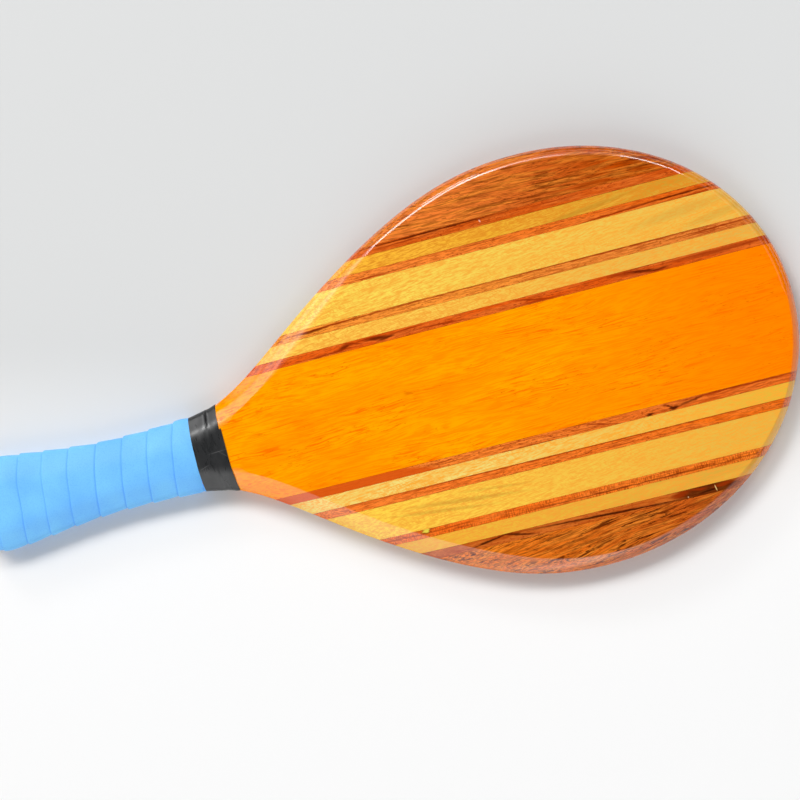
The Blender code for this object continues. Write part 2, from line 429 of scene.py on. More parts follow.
@dataclass(frozen=True)
class VinylTape:
    """Calendered black PVC tape: dark grey to the eye, with a soft shine, stretch marks and scratches."""

    name: str = "black_pvc_tape"
    base: str = "252627"
    scuff: str = "585858"
    stretch_size: Triple = (2.5 * MM, 9.0 * MM, 9.0 * MM)
    scuff_size: Triple = (0.6 * MM, 5.0 * MM, 5.0 * MM)
    scuff_reach: Pair = (0.58, 0.8)
    scuff_strength: float = 0.3
    scratches: tuple[Mark, ...] = (
        Mark(-4.5, -1.2, 8.0, 0.25, "707070", 3.0, 0.6, 0.5),
        Mark(-1.6, -3.0, 5.0, 0.22, "686868", -40.0, 0.5, 0.5),
        Mark(-12.6, -7.4, 5.0, 0.25, "707070", 18.0, 0.55, 0.5),
    )

    def material(self, origin: Vector) -> bpy.types.Material:
        """Builds the tape's material.

        Args:
            origin: Where the neck's middle lies in the frame.

        Returns:
            The finished material, with faint rubbed lines and a slightly uneven surface.
        """
        nodes = Nodes(bpy.data.materials.new(self.name))
        coords = nodes.add("TexCoord", {}).outputs["Object"]
        stretch = nodes.mottle(coords, self.stretch_size, seed=2.2).outputs[0]
        rubbed = nodes.mottle(coords, self.scuff_size, seed=6.1, turn=14.0, detail=4.0).outputs[0]
        colour = nodes.layered(linear(self.base), self.scuff, rubbed, self.scuff_reach, self.scuff_strength)
        for scratch in self.scratches:
            colour = scratch.paint(nodes, coords, origin, colour)
        uneven = {"Value": stretch, "From Min": 0.3, "From Max": 0.7, "To Min": 0.24, "To Max": 0.40}
        rough = nodes.add("MapRange", uneven).outputs[0]
        relief = {"Height": stretch, "Strength": 0.12, "Distance": 0.25 * MM}
        return nodes.surfaced(relief, {"Base Color": colour, "Roughness": rough, "IOR": 1.53})


# Orange-stained poplar: an even, glowing ground with thin, slanting reddish lines
POPLAR = VarnishedWood(
    "orange_stained_poplar", near="FFA700", tip="FF8400", line="FF7000", seed=0.31,
    turn_of_colour=(140.0, 290.0), tilt=2.5, waver=2.4, grain_size=(12.0, 0.7), grain_strength=0.45,
    streak_size=(18.0, 0.7), streak_reach=(0.54, 0.64), streak_strength=0.9, patchy=0.75,
    pore="EA6000", pore_size=(3.0, 0.5), pore_reach=(0.62, 0.70), pore_strength=0.75, pore_tilt=3.5,
    cloud="FF8C00", cloud_size=(60.0, 16.0), cloud_strength=0.5,
    marks=(Mark(97.0, 4.0, 4.5, 1.3, "E06400", -6.0, 0.6), Mark(19.0, 1.8, 3.0, 0.9, "E86C00", 0.0, 0.5)),
)
# Satinwood: fine, slanting flecks that break up the light
SATINWOOD = VarnishedWood(
    "yellow_satinwood", near="EFB937", tip="DAA53E", line="F0A036", seed=1.17,
    tilt=6.0, waver=0.8, grain_size=(4.0, 0.6), grain_strength=0.9,
    streak_size=(18.0, 0.9), streak_strength=0.6, patchy=0.7,
    pore="F0A036", pore_size=(1.6, 0.7), pore_reach=(0.50, 0.62), pore_strength=0.8, pore_tilt=-40.0,
    cloud="F4B842", cloud_size=(45.0, 5.0), cloud_strength=0.4,
)
# Padauk: red-brown, with close pores and dark figure
PADAUK = VarnishedWood(
    "red_padauk", near="FF822D", tip="F67212", line="A4360A", seed=2.23,
    tilt=0.6, waver=0.5, grain_size=(5.0, 0.55), grain_strength=0.5,
    streak_size=(36.0, 0.8), streak_reach=(0.55, 0.68), streak_strength=0.85,
    patchy=0.6, patch_size=(24.0, 3.0),
    pore="963008", pore_size=(1.6, 0.5), pore_reach=(0.55, 0.68), pore_strength=0.8,
    cloud="F48C3A", cloud_size=(24.0, 2.4), cloud_strength=0.35,
)
# Cedar: open-pored, with golden bands and long dark streaks
CEDAR = VarnishedWood(
    "dark_cedar", near="FC801B", tip="BC5018", line="5E2204", seed=3.37,
    tilt=9.0, waver=1.6, grain_size=(8.0, 0.55), grain_strength=0.5,
    streak_size=(17.0, 1.1), streak_reach=(0.51, 0.62), streak_strength=0.9, patchy=0.7,
    patch_size=(30.0, 4.0), pore="341004", pore_size=(3.2, 0.4), pore_reach=(0.57, 0.65),
    pore_strength=0.9, pore_tilt=10.0, cloud="F09030", cloud_size=(26.0, 2.2), cloud_strength=0.6,
)
# The red-brown of most dark figure in the padauk
FIGURE: str = "9A3006"


def satinwood(near: str, tip: str, fleck: str, *marks: Mark) -> VarnishedWood:
    """A yellow strip, with lines and pores of one colour."""
    return replace(SATINWOOD, near=near, tip=tip, line=fleck, pore=fleck, marks=marks)


def padauk(near: str, tip: str, *marks: Mark, **settings: Any) -> VarnishedWood:
    """A red strip with its own colours and figure."""
    return replace(PADAUK, near=near, tip=tip, marks=marks, **settings)


# Each stave is its own piece of wood, with its own colour and its own marks
WOODS: dict[str, VarnishedWood] = {
    "centre_board": POPLAR,
    "left_red_strip_1": padauk(
        "EB5F13", "DD5711",
        Mark(71, 33.9, 8, 2.0, "5A1002", 12, 0.8),
        Mark(64, 32.7, 24, 0.8, FIGURE, 1, 0.9),
        Mark(76, 34.7, 9, 1.2, FIGURE, -14, 0.8),
        Mark(88, 34.5, 12, 1.8, "4A0C02", -4, 0.85),
        Mark(93, 33.6, 9, 1.2, "4A0C02", 10, 0.7),
        Mark(82, 35.2, 16, 0.7, FIGURE, 3, 0.8),
        Mark(105, 35.2, 16, 0.7, FIGURE, 2, 0.8),
        Mark(122, 33.3, 22, 0.9, FIGURE, -3, 0.85),
        Mark(168, 33.8, 17, 0.9, FIGURE, -10.5, 0.9),
        Mark(216, 34.6, 18, 2.2, FIGURE, -4, 0.8),
        Mark(224, 33.9, 14, 1.4, "4A0E02", -8, 0.75),
        Mark(232, 33.1, 10, 0.9, "5A1202", 3, 0.7),
        Mark(262, 34.6, 50, 2.2, FIGURE, 0, 0.7),
    ),
    "left_narrow_yellow_strip_1": satinwood("FBD054", "E0B14D", "F2A238"),
    "left_red_strip_2": padauk(
        "FF9E36", "E68234",
        Mark(66, 46.3, 50, 0.8, FIGURE, 1.2, 0.95),
        Mark(57, 45.6, 14, 0.9, "5A1202", 2, 0.8),
        Mark(110, 47.1, 60, 0.6, FIGURE, 0.5, 0.8),
        Mark(200, 47.3, 130, 0.6, FIGURE, 0, 0.9),
        Mark(262, 45.9, 44, 0.8, FIGURE, 1, 0.9),
    ),
    "left_wide_yellow_strip": satinwood(
        "F8DB58", "E8BC52", "F4A83A",
        Mark(250, 58, 46, 5, "D09E40", 5, 0.4),
        Mark(265, 52, 30, 4, "C8963A", 8, 0.35),
    ),
    "left_red_strip_3": padauk(
        "FF8F36", "E9630D",
        Mark(218, 64.9, 34, 0.8, FIGURE, 2.2, 0.95),
        Mark(250, 66.0, 42, 0.9, "4E0F02", 0.8, 0.85),
    ),
    "left_narrow_yellow_strip_2": satinwood(
        "FEBD33", "CB952E", "E08A24", Mark(206, 70.6, 40, 2.2, "B88628", 6, 0.5)
    ),
    "left_red_strip_4": padauk(
        "DE6218", "D25612",
        Mark(128, 79.2, 72, 0.9, "3E0B02", 0.3, 0.85),
        Mark(112, 77.6, 30, 0.6, FIGURE, 1, 0.8),
        Mark(152.2, 78.0, 0.6, 1.3, "F0D0B8", 20, 0.7, 0.4, False),
    ),
    "left_outer_board": replace(
        CEDAR, near="F38032", tip="BC4601", turn_of_colour=(120.0, 240.0), line="6E2802",
        tilt=-2.0, streak_strength=0.65, pore="4A1802", pore_strength=0.7, pore_tilt=-2.0,
    ),
    "right_red_strip_1": padauk(
        "FF8D33", "ED6B1E",
        Mark(0, -54, 260, 60, "D85410", 0, 0.9, 0.03),
        Mark(210, -35.4, 3.4, 1.5, "3A0A02", 5, 0.9, 0.5),
        Mark(222.5, -35.0, 4.5, 1.7, "3A0A02", 12, 0.9, 0.5),
        Mark(220.3, -33.8, 5.5, 0.9, "4A0F02", -29, 0.8),
        Mark(231.5, -33.5, 14, 0.9, "5A1302", 9, 0.75),
        Mark(185.5, -34.0, 18, 0.8, FIGURE, -12, 0.8),
        Mark(258, -32.3, 60, 0.8, FIGURE, 0, 0.9),
        grain_strength=0.55,
        pore_strength=0.85,
    ),
    "right_narrow_yellow_strip_1": satinwood("F3DF7F", "E8B439", "F8A836"),
    "right_red_strip_2": replace(PADAUK, marks=(Mark(170, -43.6, 240, 0.5, FIGURE, 0, 0.8),)),
    "right_wide_yellow_strip": satinwood(
        "FFD74C", "E5B347", "F4A838",
        Mark(112, -54.5, 50, 2.0, "C0882E", -5, 0.45),
        Mark(100, -57.0, 44, 1.6, "B8822C", -6, 0.35),
        Mark(128, -52.0, 30, 1.2, "C0882E", -5, 0.3),
    ),
    "right_red_strip_3": padauk(
        "FF741D", "FF8526",
        Mark(70, -66.0, 60, 0.8, FIGURE, 0, 0.7),
        Mark(190, -67.0, 110, 0.6, "5A1202", 0.3, 0.75),
        Mark(88.8, -65.0, 4.4, 3.0, "5A1B02", 0, 0.7, 0.4),
        Mark(88.8, -64.9, 3.0, 2.0, "E8D24A", 0, 0.95, 0.35),
        pore="7A2402",
        pore_size=(0.45, 2.6),
        pore_reach=(0.46, 0.62),
        pore_strength=0.6,
    ),
    "right_narrow_yellow_strip_2": SATINWOOD,
    "right_red_strip_4": padauk(
        "BC5616", "C8641C",
        Mark(118, -77.2, 18, 1.0, "2E0702", 9, 0.9),
        Mark(134, -77.4, 16, 1.0, "3A0B02", -12, 0.85),
        Mark(180, -78.2, 80, 1.0, "2E0702", -2.4, 0.9),
        Mark(228, -77.6, 33, 6.0, "3A0A02", 0, 0.82, 0.3),
        Mark(236, -76.9, 8, 1.8, FIGURE, 5, 0.8),
        Mark(215, -77.2, 9, 2.2, FIGURE, 6, 0.8),
        Mark(224, -76.6, 7, 1.1, FIGURE, -8, 0.75),
        Mark(229, -78.4, 9, 0.9, "240402", 4, 0.7),
        Mark(232.6, -77.9, 0.5, 3.0, "E8C078", 12, 0.9, 0.3, False),
        Mark(218.5, -79.2, 0.6, 0.8, "E0B890", 0, 0.7, 0.4, False),
    ),
    "right_outer_board": CEDAR,
}


@dataclass(frozen=True)
class BoardShape:
    """The board seen square to its face, as one smooth curve for each side, and its bevel.

    A pull is how far the curve keeps its direction, as a share of the span to the next place.
    """

    thickness: float = 15.0 * MM
    rim_height: float = 5.0 * MM
    head_length: float = 292.0 * MM
    head_width: float = 209.0 * MM
    widest_place: float = 173.0 * MM
    shoulder_place: float = 41.9 * MM
    shoulder_width: float = 98.1 * MM
    shoulder_slope: float = radians(35.9)
    waist_place: float = -56.3 * MM
    waist_width: float = 33.5 * MM
    handle_length: float = 140.0 * MM
    knob_from_butt: float = 19.5 * MM
    knob_width: float = 45.5 * MM
    tip_drift: float = 4.5 * MM
    butt_pull: float = 0.68
    knob_pull: float = 0.10
    handle_pull: float = 0.35
    waist_pull: float = 0.55
    shoulder_pull: float = 0.515
    cheek_pull: float = 0.64
    widest_pull: float = 0.225
    tip_pull: float = 0.56
    bevel_wide: float = 10.0 * MM
    bevel_at_butt: float = 4.0 * MM
    left_bevel: float = 4.0 * MM
    right_bevel: float = 4.85 * MM
    tip_bevel: float = 3.2 * MM
    left_taper: Pair = (20.0 * MM, 98.0 * MM)
    right_taper: Pair = (95.0 * MM, 205.0 * MM)
    left_tip_taper: Pair = (180.0 * MM, 245.0 * MM)
    right_tip_taper: Pair = (235.0 * MM, 282.0 * MM)
    left_widening: float = 0.45 * MM
    left_widening_place: float = 135.0 * MM
    left_widening_reach: float = 35.0 * MM
    crisp_arris_round: float = 0.6 * MM
    crown_arris_round: float = 2.4 * MM
    soft_arris_round: float = 4.6 * MM
    taped_arris_round: float = 4.2 * MM
    neck_to_soft: Pair = (14.0 * MM, 42.0 * MM)
    soft_to_crown: Pair = (65.0 * MM, 100.0 * MM)
    neck_to_tape: Pair = (-4.0 * MM, 0.0)
    rim_round: float = 1.2 * MM
    taped_rim_round: float = 2.2 * MM

    @property
    def depth(self) -> float:
        """Height of the bevel."""
        return (self.thickness - self.rim_height) / 2

    def side_points(self, share: int = 34) -> np.ndarray:
        """Points of the left side from the butt to the tip, before the tip's drift.

        Args:
            share: Points on each of the five spans.

        Returns:
            Places along and half widths, one row for each point.
        """
        butt = np.array((-self.handle_length, 0.0))
        knob = np.array((self.knob_from_butt - self.handle_length, self.knob_width / 2))
        waist = np.array((self.waist_place, self.waist_width / 2))
        shoulder = np.array((self.shoulder_place, self.shoulder_width / 2))
        widest = np.array((self.widest_place, self.head_width / 2))
        tip = np.array((self.head_length, 0.0))
        along, across = np.array((1.0, 0.0)), np.array((0.0, 1.0))
        climb = np.array((cos(self.shoulder_slope), sin(self.shoulder_slope)))
        handle, neck = waist[0] - knob[0], shoulder[0] - waist[0]
        cheek, crown = widest[0] - shoulder[0], tip[0] - widest[0]
        spans = (
            (butt, across * knob[1] * self.butt_pull, along * self.knob_from_butt * self.butt_pull, knob),
            (knob, along * handle * self.knob_pull, along * handle * self.handle_pull, waist),
            (waist, along * neck * self.waist_pull, climb * neck * self.shoulder_pull, shoulder),
            (shoulder, climb * cheek * self.cheek_pull, along * cheek * self.widest_pull, widest),
            (widest, along * crown * self.tip_pull, -across * widest[1] * self.tip_pull, tip),
        )
        t = np.linspace(0.0, 1.0, share + 1)[1:, None]
        points = [butt[None]]
        for start, leave, arrive, end in spans:
            ends = start * (1 - t) ** 3 + end * t ** 3
            pulls = (start + leave) * 3 * t * (1 - t) ** 2 + (end - arrive) * 3 * t * t * (1 - t)
            points.append(ends + pulls)
        return np.concatenate(points)

    def half_width(self, place: np.ndarray) -> np.ndarray:
        """Half the board's width at places along it."""
        side = self.side_points(share=60)
        return np.interp(place, side[:, 0], side[:, 1])

    def drift(self, place: np.ndarray) -> np.ndarray:
        """How far the outline leans to the left at places along it."""
        return self.tip_drift * (np.maximum(place, 0.0) / self.head_length) ** 2

    def bevel(self, place: np.ndarray, left: np.ndarray) -> np.ndarray:
        """Width of the bevel at places along the board.

        Args:
            place: Places along the board.
            left: Whether each place is on the left side.

        Returns:
            Widths in metres.
        """
        on_left = blend(place, self.left_taper, self.bevel_wide, self.left_bevel)
        on_left = blend(place, self.left_tip_taper, on_left, self.tip_bevel)
        from_wide = (place - self.left_widening_place) / self.left_widening_reach
        on_left += self.left_widening * np.exp(-from_wide ** 2)
        on_right = blend(place, self.right_taper, self.bevel_wide, self.right_bevel)
        on_right = blend(place, self.right_tip_taper, on_right, self.tip_bevel)
        knob = (self.handle_length - self.knob_from_butt, self.handle_length)
        return blend(-place, knob, np.where(left, on_left, on_right), self.bevel_at_butt)

    def rounds(self, place: np.ndarray, left: np.ndarray) -> tuple[np.ndarray, np.ndarray]:
        """How much is rounded off at the arris and at the rim's corner.

        The arris is crisp on the right and at the neck, soft on the left shoulder, a little rounded
        on the left of the blade, and well rounded under the tape.

        Args:
            place: Places along the board.
            left: Whether each place is on the left side.

        Returns:
            Lengths on each side of the arris, and of the rim's corner.
        """
        on_left = blend(place, self.neck_to_soft, self.crisp_arris_round, self.soft_arris_round)
        on_left = blend(place, self.soft_to_crown, on_left, self.crown_arris_round)
        arris = np.where(left, on_left, self.crisp_arris_round)
        arris = blend(-place, self.neck_to_tape, arris, self.taped_arris_round)
        return arris, blend(-place, self.neck_to_tape, self.rim_round, self.taped_rim_round)

    def loop(self) -> np.ndarray:
        """The whole outline as a closed loop of points, left side first."""
        side = self.side_points()
        left = np.column_stack((side[:, 0], side[:, 1] + self.drift(side[:, 0])))
        back = side[-2:0:-1]
        right = np.column_stack((back[:, 0], self.drift(back[:, 0]) - back[:, 1]))
        return np.concatenate((left, right))


def deselect() -> None:
    """Leaves edit mode and deselects every object."""
    if bpy.context.object and bpy.context.object.mode != "OBJECT":
        bpy.ops.object.mode_set(mode="OBJECT")
    bpy.ops.object.select_all(action="DESELECT")


def pick(piece: bpy.types.Object) -> None:
    """Selects one object alone and makes it the active one."""
    deselect()
    piece.select_set(True)
    bpy.context.view_layer.objects.active = piece


def face_outward() -> None:
    """Turns every face of the mesh in edit mode outwards, and leaves edit mode."""
    bpy.ops.mesh.select_all(action="SELECT")
    bpy.ops.mesh.normals_make_consistent(inside=False)
    bpy.ops.object.mode_set(mode="OBJECT")


def rolled_sheet(name: str, rows: np.ndarray, seam: Sequence[float] = ()) -> bpy.types.Object:
    """Rolls a grid into a closed tube through rows of points, and closes its two ends.

    Args:
        name: Name of the object.
        rows: Points by row along the tube and by column round it.
        seam: How near each column lies to a seam, 0 to 1, to keep on the mesh as the mask of painted seam
            shade.

    Returns:
        The closed mesh object, which sits at the origin.
    """
    deselect()
    count, around = rows.shape[:2]
    bpy.ops.mesh.primitive_grid_add(x_subdivisions=around, y_subdivisions=count - 1, size=1.0)
    piece = bpy.context.object
    piece.name = name
    piece.data.name = name
    wrapped = np.concatenate((rows, rows[:, :1]), axis=1)
    piece.data.vertices.foreach_set("co", wrapped.reshape(-1).astype(np.float32))
    if len(seam):
        near = np.tile(np.append(seam, seam[0]), count).astype(np.float32)
        piece.data.attributes.new("seam", "FLOAT", "POINT").data.foreach_set("value", near)
    bpy.ops.object.mode_set(mode="EDIT")
    bpy.ops.mesh.select_all(action="SELECT")
    bpy.ops.mesh.remove_doubles(threshold=MERGE_DISTANCE)
    bpy.ops.mesh.fill_holes(sides=0)
    face_outward()
    piece.data.update()
    return piece


def dress(
    piece: bpy.types.Object, material: bpy.types.Material, node: str, sharp: float = 35.0
) -> None:
    """Gives a finished piece its shading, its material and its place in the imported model.

    Args:
        piece: The finished piece.
        material: Its material.
        node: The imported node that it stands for.
        sharp: Angle in degrees from which an edge stays sharp.
    """
    pick(piece)
    bpy.ops.object.shade_smooth_by_angle(angle=radians(sharp))
    piece.data.materials.clear()
    piece.data.materials.append(material)
    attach(piece, "root")
    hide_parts(node)
    LOG.info("%s: %d faces", piece.name, len(piece.data.polygons))


@dataclass(frozen=True)
class Stave:
    """One stave of the board, between two distances from the middle."""

    node: str
    slot: Slot
    low: float
    high: float


@dataclass
class Board:
    """The bevelled board, cut into its staves."""

    origin: Vector
    shape: BoardShape
    swell: float = 0.35 * MM
    glue_line: float = 0.06 * MM
    centre_width: float = 63.5 * MM
    red_width: float = 4.4 * MM
    narrow_yellow_width: float = 7.15 * MM
    wide_yellow_width: float = 16.25 * MM
    corner_levels: int = 6
    bevel_levels: tuple[float, ...] = (0.2, 0.4, 0.6, 0.8)
    arris_levels: int = 9
    face_margin: float = 1.0 * MM

    def staves(self) -> list[Stave]:
        """Lists the staves from the centre board outwards."""
        half = self.centre_width / 2
        plan = [Stave("centre_board", Slot.ORANGE, -half, half)]
        layers = (
            ("red_strip_1", Slot.RED, self.red_width),
            ("narrow_yellow_strip_1", Slot.YELLOW, self.narrow_yellow_width),
            ("red_strip_2", Slot.RED, self.red_width),
            ("wide_yellow_strip", Slot.YELLOW, self.wide_yellow_width),
            ("red_strip_3", Slot.RED, self.red_width),
            ("narrow_yellow_strip_2", Slot.YELLOW, self.narrow_yellow_width),
            ("red_strip_4", Slot.RED, self.red_width),
            ("outer_board", Slot.DARK, self.shape.head_width / 2),
        )
        for side in Side:
            inner = half
            for name, slot, width in layers:
                low, high = sorted((side.value * inner, side.value * (inner + width)))
                plan.append(Stave(f"{side.name.lower()}_{name}", slot, low, high))
                inner += width
        return plan

    def _profile(self, place: np.ndarray, left: np.ndarray) -> list[tuple[np.ndarray, np.ndarray]]:
        """Half of the edge's section, from the rim's middle up to the face.

        Args:
            place: Places along the outline.
            left: Whether each place is on the left side.

        Returns:
            For each level, how far in from the outline it lies and how high.
        """
        shape = self.shape
        face, rim = shape.thickness / 2, shape.rim_height / 2
        bevel = shape.bevel(place, left)
        arris, corner = shape.rounds(place, left)
        slope = np.hypot(bevel, shape.depth)
        run_in, run_up = bevel / slope, shape.depth / slope
        levels = [(0 * bevel, 0 * bevel)]
        for t in np.linspace(0.0, 1.0, self.corner_levels):
            up = (rim - corner) * (1 - t) ** 2 + 2 * rim * t * (1 - t) + (rim + corner * run_up) * t * t
            levels.append((corner * run_in * t * t, up))
        for t in self.bevel_levels:
            travel = corner + (slope - corner - arris) * t
            out = self.swell * 4 * t * (1 - t)
            levels.append((travel * run_in - out * run_up, rim + travel * run_up + out * run_in))
        for t in np.linspace(0.0, 1.0, self.arris_levels):
            inset = bevel - arris * run_in * (1 - t) ** 2 + arris * t * t
            levels.append((inset, face - arris * run_up * (1 - t) ** 2))
        levels.append((bevel + arris + self.face_margin, face + 0 * bevel))
        return levels

    def blank(self) -> bpy.types.Object:
        """Makes the whole board: flat faces, soft arrises, swelling bevels and a round rim."""
        loop = self.shape.loop()
        run = np.roll(loop, -1, axis=0) - np.roll(loop, 1, axis=0)
        run /= np.linalg.norm(run, axis=1)[:, None]
        inward = np.column_stack((run[:, 1], -run[:, 0]))
        upper = self._profile(loop[:, 0], loop[:, 1] > self.shape.drift(loop[:, 0]))
        rows = []
        for inset, height in [(i, -h) for i, h in upper[:0:-1]] + upper:
            flat = loop + inward * inset[:, None]
            rows.append(np.column_stack((flat, height)) + np.array(self.origin))
        return rolled_sheet("board_blank", np.array(rows))

    def cut(self, blank: bpy.types.Object, stave: Stave) -> bpy.types.Object:
        """Saws one stave out of a copy of the board.

        Args:
            blank: The whole board.
            stave: Where the stave lies.

        Returns:
            The stave's object.
        """
        piece = blank.copy()
        piece.data = blank.data.copy()
        piece.name = stave.node + "_wood"
        piece.data.name = piece.name
        bpy.context.scene.collection.objects.link(piece)
        pick(piece)
        bpy.ops.object.mode_set(mode="EDIT")
        for edge, away in ((stave.low, 1), (stave.high, -1)):
            saw = (0, edge + away * self.glue_line / 2 + self.origin.y, 0)
            bpy.ops.mesh.select_all(action="SELECT")
            bpy.ops.mesh.bisect(plane_co=saw, plane_no=(0, -away, 0), use_fill=True, clear_outer=True)
        face_outward()
        return piece

    def build(self) -> None:
        """Makes and dresses every stave."""
        blank = self.blank()
        for number, stave in enumerate(self.staves()):
            wood = WOODS[stave.node]
            own = replace(wood, name=f"{wood.name}_{stave.node}", seed=wood.seed + number)
            dress(self.cut(blank, stave), own.material(self.origin), stave.node)
        bpy.data.objects.remove(blank)


@dataclass(frozen=True)
class HandleSection:
    """The taped handle's section: the board's, with its corners rounded as under the tape."""

    origin: Vector
    shape: BoardShape

    def points(self, place: np.ndarray, lift: np.ndarray, turn: float) -> np.ndarray:
        """Points in a row along the handle.

        Args:
            place: Places along the handle.
            lift: Heights above the wood.
            turn: Turns round the handle, from its left edge over the front face.

        Returns:
            X, Y and Z for each point.
        """
        stations = self._stations(place)
        marks = self._marks()
        part = turn % 1.0
        index = np.clip(np.searchsorted(marks, part, side="right") - 1, 0, len(marks) - 2)
        share = (part - marks[index]) / (marks[index + 1] - marks[index])
        across, up, angle, radius = (stations[:, index] * (1 - share) + stations[:, index + 1] * share).T
        reach = radius + lift
        row = np.column_stack((place, across + reach * np.cos(angle), up + reach * np.sin(angle)))
        return row + np.array(self.origin)

    def _stations(self, place: np.ndarray) -> np.ndarray:
        """Ends of the section's straight and round stretches, from the left edge's middle and back to it.

        Args:
            place: Places along the handle.

        Returns:
            By place and station: a centre's place across and up, the normal's angle and the radius.
        """
        shape = self.shape
        both = np.ones_like(place)
        half, bevel = shape.half_width(place), shape.bevel(place, both > 0)
        face, rim = shape.thickness / 2 * both, shape.rim_height / 2 * both
        lean = np.arctan2(bevel, shape.depth)
        flat = half - bevel
        front = ((half, rim), (flat, face), (-flat, face), (-half, rim))
        corners = front + tuple((across, -up) for across, up in reversed(front))
        angles = (0 * both, lean, pi / 2 * both, pi - lean, pi * both)
        angles += tuple(2 * pi - angle for angle in reversed(angles[:-1]))
        arris_left, corner = shape.rounds(place, both > 0)
        arris_right, _ = shape.rounds(place, both < 0)
        half_turn = (corner, arris_left, arris_right, corner)
        lengths = half_turn + half_turn[::-1]
        found = []
        for (across, up), before, after, length in zip(corners, angles, angles[1:], lengths):
            middle, bend = (before + after) / 2, (after - before) / 2
            radius = length / np.tan(bend)
            back = radius / np.cos(bend)
            centre = (across - back * np.cos(middle), up - back * np.sin(middle))
            found += [np.column_stack((*centre, angle, radius)) for angle in (before, after)]
        edge = np.column_stack((half - found[0][:, 3], 0 * half, 0 * half, found[0][:, 3]))
        last = edge + np.array((0.0, 0.0, 2 * pi, 0.0))
        return np.stack([edge, *found, last], axis=1)

    def _marks(self) -> np.ndarray:
        """Turn at each station, by length round the waist."""
        stations = self._stations(np.array((self.shape.waist_place,)))[0]
        normals = np.column_stack((np.cos(stations[:, 2]), np.sin(stations[:, 2])))
        points = stations[:, :2] + stations[:, 3:] * normals
        steps = np.linalg.norm(np.diff(points, axis=0), axis=1)
        return np.concatenate(((0.0,), np.cumsum(steps) / steps.sum()))


@dataclass
class GripWinding:
    """The grip tape: one soft strip wound from the butt to the collar, each turn lapping the last.

    Seams are places in millimetres. The section is two rows of points, in millimetres from the
    edge on the butt's side and above the wood: a raised, rounded edge that thins out towards the
    blade, under the next turn. A ripple is a height, and the waves' angle for each turn and for
    each metre along.
    """

    section: HandleSection
    seams: tuple[float, ...] = (-106.2, -93.7, -79.9, -65.1, -51.1, -37.5, -23.9)
    pitch: float = 13.7 * MM
    lap: float = 2.6 * MM
    back_end: float = -131.0 * MM
    front_end: float = -6.5 * MM
    shortest_end: float = 1.5 * MM
    spare_turns: int = 5
    points_per_turn: int = 96
    outer: tuple[Pair, ...] = (
        (0.00, 1.00), (0.00, 1.24), (0.10, 1.48), (0.34, 1.66), (0.75, 1.74), (2.0, 1.70),
        (4.0, 1.60), (6.5, 1.48), (9.0, 1.34), (11.0, 1.20), (12.4, 1.06), (13.1, 0.97),
        (13.5, 0.91), (14.0, 0.82), (15.0, 0.66), (16.1, 0.46),
    )
    inner: tuple[Pair, ...] = (
        (16.3, 0.36), (16.0, 0.26), (13.0, 0.25), (8.0, 0.25),
        (3.6, 0.28), (2.6, 0.50), (1.3, 0.72), (0.2, 0.92),
    )
    # Where the painted seam shade lies on the strip, measured from its edge on the butt's side
    crease_shade_width: float = 0.2 * MM
    crease_shade_start: Pair = (12.8 * MM, 13.6 * MM)
    pressed_places: Pair = (-19.5 * MM, -15.0 * MM)
    pressed_share: float = 0.78
    ripples: tuple[Triple, ...] = ((0.03 * MM, 17.0, 900.0), (0.02 * MM, 41.0, -500.0))
    ripple_from: float = 0.6 * MM

    def seam(self, turn: float) -> float:
        """Place of the strip's edge on the butt's side after a number of turns."""
        known = np.array(self.seams) * MM
        extra = np.arange(1, self.spare_turns + 1) * self.pitch
        places = np.concatenate((known[0] - extra[::-1], known, known[-1] + extra))
        return float(np.interp(turn, np.arange(len(places)) - self.spare_turns, places))

    def build(self) -> None:
        """Makes and dresses the wound strip."""
        shape = np.array(self.outer + self.inner) * MM
        step = 1 / self.points_per_turn
        rows = []
        for turn in np.arange(-self.spare_turns, len(self.seams) + self.spare_turns - 1, step):
            back = max(self.seam(turn), self.back_end)
            front = min(self.seam(turn + 1) + self.lap, self.front_end)
            if front - back < self.shortest_end:
                continue
            place = back + shape[:, 0] / shape[:, 0].max() * (front - back)
            pressed = 1 - self.pressed_share * smooth_step(place, *self.pressed_places)
            soft = sum(high * np.sin(turn * around + place * along) for high, around, along in self.ripples)
            lift = (shape[:, 1] + soft * (shape[:, 1] > self.ripple_from)) * pressed
            rows.append(self.section.points(place, lift, -turn))
        from_back = shape[:, 0]
        # Painted seam shade on each column: full along the strip's edge on the butt's side, and rising near
        # the next turn's edge
        crease_shade = np.where(from_back < self.crease_shade_width, 1.0, smooth_step(from_back, *self.crease_shade_start))
        piece = rolled_sheet("grip_tape_wound", np.array(rows), crease_shade)
        dress(piece, GripFoam().material(), "grip_tape", sharp=60.0)


